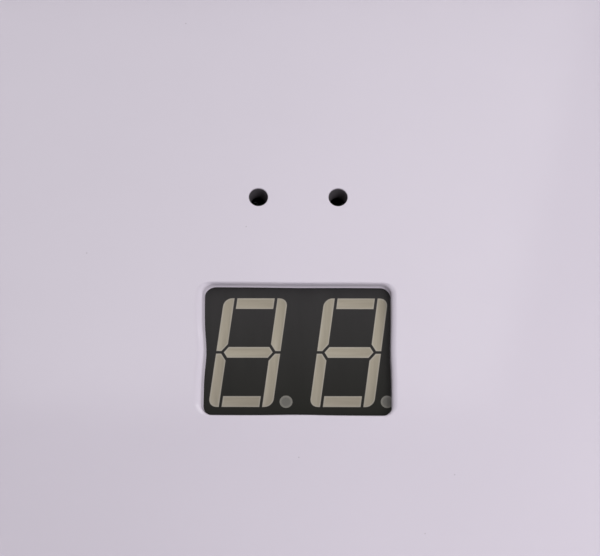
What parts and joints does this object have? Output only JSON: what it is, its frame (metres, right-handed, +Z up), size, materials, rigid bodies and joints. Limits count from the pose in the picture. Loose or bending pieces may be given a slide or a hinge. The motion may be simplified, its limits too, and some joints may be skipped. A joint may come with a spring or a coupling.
{
  "type": "countdown signal head",
  "caption": "Compact wall-mounted countdown signal head: glossy white hinged door with seven-segment window and recessed indicator lamps, on a sealed housing with supply board and cable gland.",
  "frame": {"origin": "centre of the four wall screws, on the plane of the wall pads", "axes": "+Z up, +X to the viewer's right, +Y into the wall; the door faces -Y"},
  "size_m": [0.1314, 0.0542, 0.1545],
  "materials": {
    "white_plastic": "moulded gloss, fine dust",
    "display_face": "printed dark grey face",
    "segment_lens": "milky diffusing resin, unlit",
    "point_lens": "milky diffusing resin, unlit",
    "tinned_metal": "tinned wire",
    "circuit_board": "green solder resist",
    "steel": "turned stainless steel",
    "clear_lens": "water-clear resin",
    "black_plastic": "fine moulded texture",
    "chip_plastic": "moulded epoxy",
    "can_metal": "drawn can",
    "cream_plastic": "natural nylon",
    "green_plastic": "moulded nylon",
    "seal_rubber": "soft closed-cell rubber",
    "gland_plastic": "moulded nylon"
  },
  "bodies": {
    "housing": {"rear_housing": "white_plastic", "door_gasket": "seal_rubber", "hinge_pin_upper": "steel", "hinge_pin_lower": "steel", "supply_board": "circuit_board", "supply_screws": "steel", "supply_converter": "black_plastic", "supply_capacitor": "can_metal", "supply_header": "cream_plastic", "fuse_holder": "black_plastic", "terminal_block": "green_plastic", "terminal_screws": "steel", "gland_body": "gland_plastic", "gland_lock_nut": "gland_plastic", "gland_clamp_nut": "gland_plastic", "gland_seal": "seal_rubber"},
    "door": {"front_cover": "white_plastic", "display_shell": "display_face", "display_segments": "segment_lens", "decimal_points": "point_lens", "display_pins": "tinned_metal", "display_board": "circuit_board", "display_screws": "steel", "indicator_lamp_left": "clear_lens", "indicator_lamp_right": "clear_lens", "light_shields": "black_plastic", "controller_chip": "chip_plastic", "driver_chip": "chip_plastic", "chip_resistors": "chip_plastic", "can_capacitor": "can_metal", "display_header": "cream_plastic", "latch_bush": "steel", "latch_nut": "steel"},
    "latch": {"latch_plug": "steel", "latch_clip": "steel", "latch_cam": "steel", "latch_screw": "steel"}
  },
  "joints": [
    {"name": "door_hinge", "type": "hinge", "parent": "housing", "child": "door", "pos_m": [-0.0659, -0.0343, 0], "axis": [0, 0, -1], "range_deg": [0, 120]},
    {"name": "latch_turn", "type": "hinge", "parent": "door", "child": "latch", "pos_m": [0.047, -0.0526, 0], "axis": [0, 1, 0], "range_deg": [0, 90]}
  ]
}
